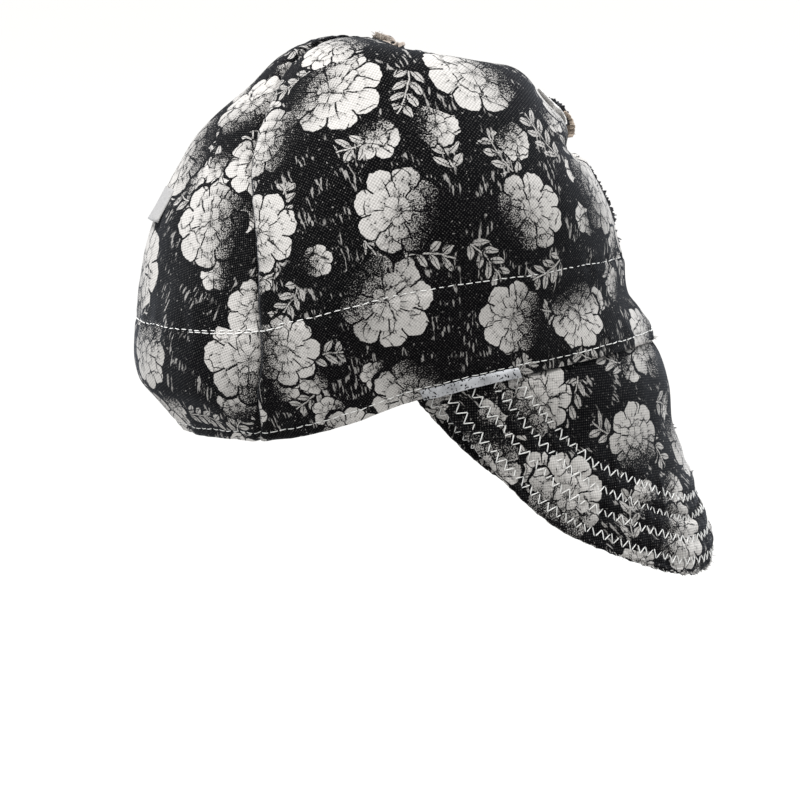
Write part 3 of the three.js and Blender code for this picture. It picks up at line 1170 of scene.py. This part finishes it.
def make_fraying(pale, dark, tan):
    """Bare threads along the front seam, at the tip, along the brim's edge and at the hem."""
    chance = np.random.default_rng(11)
    made = []
    along = np.concatenate([np.arange(109, 122, 0.5), chance.uniform(122, 152, 24)])
    points, normals = crown_skin(along, chance.uniform(-10, -7, len(along)))
    made.append(loose_ends("front_seam_fraying", points, normals, 1.4, 0.38, 3, dark, 0.3))
    along = chance.uniform(80, 91, 18)
    points, normals = crown_skin(along, chance.uniform(-10, -8, len(along)), -3.4)
    made.append(loose_ends("front_seam_pale_ends", points, normals, 1.6, 0.12, 4, tan))
    count = 170
    run = chance.uniform(0.15, 1, (count, 1))
    roots = tip_middle() + run * np.array([[0, 7.2, 5.6]]) + np.array([0, 0.6, 0.9])
    roots = roots + chance.normal(size=(count, 3)) * np.array([1.2, 0.6, 0.9])
    lifted = unit(np.tile([-0.3, 0.4, 0.8], (count, 1)))
    made.append(loose_ends("tip_fraying", roots, lifted, 1.1, 0.13, 5, tan))
    side = chance.uniform(-0.5, 0.5, 300)
    points, normals = brim_skin(side, 0.995)
    outward = unit(points - brim_face(side, np.full(len(side), 0.95)))
    facing = unit(normals + outward)
    made.append(loose_ends("brim_edge_fraying", points, facing, 1.5, 0.16, 6, pale))
    down = np.concatenate([chance.uniform(0.42, 0.445, 10), np.arange(0.63, 0.75, 0.005)])
    points, normals = brim_skin(chance.uniform(-0.03, 0.01, len(down)), down)
    made.append(loose_ends("brim_front_fraying", points, normals, 1.3, 0.36, 8, dark, 0.25))
    turn = np.concatenate([chance.uniform(-30, 30, 60), chance.uniform(60, 160, 60)])
    points, normals = crown_skin(HEM - 0.4, turn)
    made.append(loose_ends("hem_fraying", points, normals, 1.7, 0.1, 7, pale))
    return made


# The room

FLOOR = dict(height=-320, flat=1500, wide=9000, rise=0.16, steps=12, sides=72)


def make_room():
    """A pale floor, greyer under the cap as a painted shadow, flat there and rising gently all
    round it far away.
    """
    bm = bmesh.new()
    bmesh.ops.create_circle(bm, cap_ends=True, segments=FLOOR["sides"], radius=FLOOR["flat"])
    for step in range(1, FLOOR["steps"] + 1):
        rim = [edge for edge in bm.edges if edge.is_boundary]
        grown = bmesh.ops.extrude_edge_only(bm, edges=rim)["geom"]
        run = (FLOOR["wide"] - FLOOR["flat"]) * step / FLOOR["steps"]
        for vertex in grown:
            if isinstance(vertex, bmesh.types.BMVert):
                outward = vertex.co.xy.normalized() * (FLOOR["flat"] + run)
                vertex.co = (*outward, FLOOR["rise"] * run * min(run / 2500, 1))
    for vertex in bm.verts:
        vertex.co = (vertex.co + Vector((0, 0, FLOOR["height"]))) * MM
    bmesh.ops.recalc_face_normals(bm, faces=bm.faces)
    floor = smooth_object("floor", bm)
    material, tree, shader = new_material("floor_paper", 0.9, 0)
    place = object_place(tree)
    paper = noise_value(tree, place, 0.4)
    x, y = parts_of(tree, place)
    # Painted shadow: the floor's colour is darker within about a quarter metre of the middle,
    # under the cap, and pale from half a metre out.
    away = (x * x + y * y).math("SQRT").rise(0.22, 0.5) * 0.94 + paper * 0.06
    two_colours(shader, away, (0.42, 0.418, 0.413), (0.49, 0.487, 0.48))
    floor.data.materials.append(material)


# Lamp distances and sizes in metres, power in watts
SUN = dict(azimuth=-145, elevation=73, spread=36, strength=6.3)
SKY = 0.12
LAMP_SIZE = 1.0
LAMP_DISTANCE = 1.7
LAMP_COLOUR = (0.94, 0.97, 1)
LAMPS = [
    dict(name="rear", azimuth=-175, elevation=30, power=8),
    dict(name="front", azimuth=18, elevation=32, power=24),
]


def make_lamps():
    sun = bpy.data.lights.new("sun", "SUN")
    sun.energy = SUN["strength"]
    sun.angle = radians(SUN["spread"])
    look_from(add_object("sun", sun), SUN["azimuth"], SUN["elevation"])
    for lamp in LAMPS:
        data = bpy.data.lights.new(lamp["name"], "AREA")
        data.size = LAMP_SIZE
        data.energy = lamp["power"]
        data.color = LAMP_COLOUR
        made = add_object(lamp["name"], data)
        made.location = look_from(made, lamp["azimuth"], lamp["elevation"]) * LAMP_DISTANCE
    world = bpy.data.worlds.new("studio")
    world.use_nodes = True
    sky = world.node_tree.nodes["Background"]
    sky.inputs["Color"].default_value = (1, 1, 1, 1)
    sky.inputs["Strength"].default_value = SKY
    bpy.context.scene.world = world
    bpy.context.scene.view_settings.view_transform = "Standard"


make_camera()
make_room()
make_lamps()

cloth = printed_cotton()
lining = plain_cotton("lining_cotton", (0.03, 0.03, 0.033))
band_cotton = plain_cotton("band_cotton", (0.05, 0.05, 0.055))
white_thread = thread_material("white_thread", (0.86, 0.86, 0.84))
grey_thread = thread_material("grey_thread", (0.5, 0.49, 0.47))
dark_thread = thread_material("dark_thread", (0.02, 0.02, 0.022))
tan_thread = thread_material("tan_thread", (0.5, 0.44, 0.37))

panel_right, panel_left, panel_back = make_crown(cloth, lining)
front_inside, left_inside, right_inside = make_seam_allowances(lining)
hem_turn_right, hem_turn_left = make_hem_turns(worn_print())
band = make_band(band_cotton)
covers = make_brim(cloth, lining)
label = make_label(label_tape())
frayed = plain_cotton("frayed_cotton", (0.86, 0.85, 0.83))
tip = make_tip(tip_cotton())
raw = plain_cotton("raw_cotton", (0.5, 0.41, 0.33))
raw_edges = make_raw_edges(dict(pale=frayed, dark=lining, tan=raw))
zigzags = [make_zigzags(white_thread), make_zigzags(white_thread, under=True)]
threads = zigzags + crown_rows(white_thread)
threads += make_fraying(grey_thread, dark_thread, tan_thread)

cloths = [panel_right, panel_left, panel_back, front_inside, left_inside, right_inside,
          hem_turn_right, hem_turn_left, *raw_edges, band, *covers, label, tip]
for piece in cloths + threads:
    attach(piece, "root")
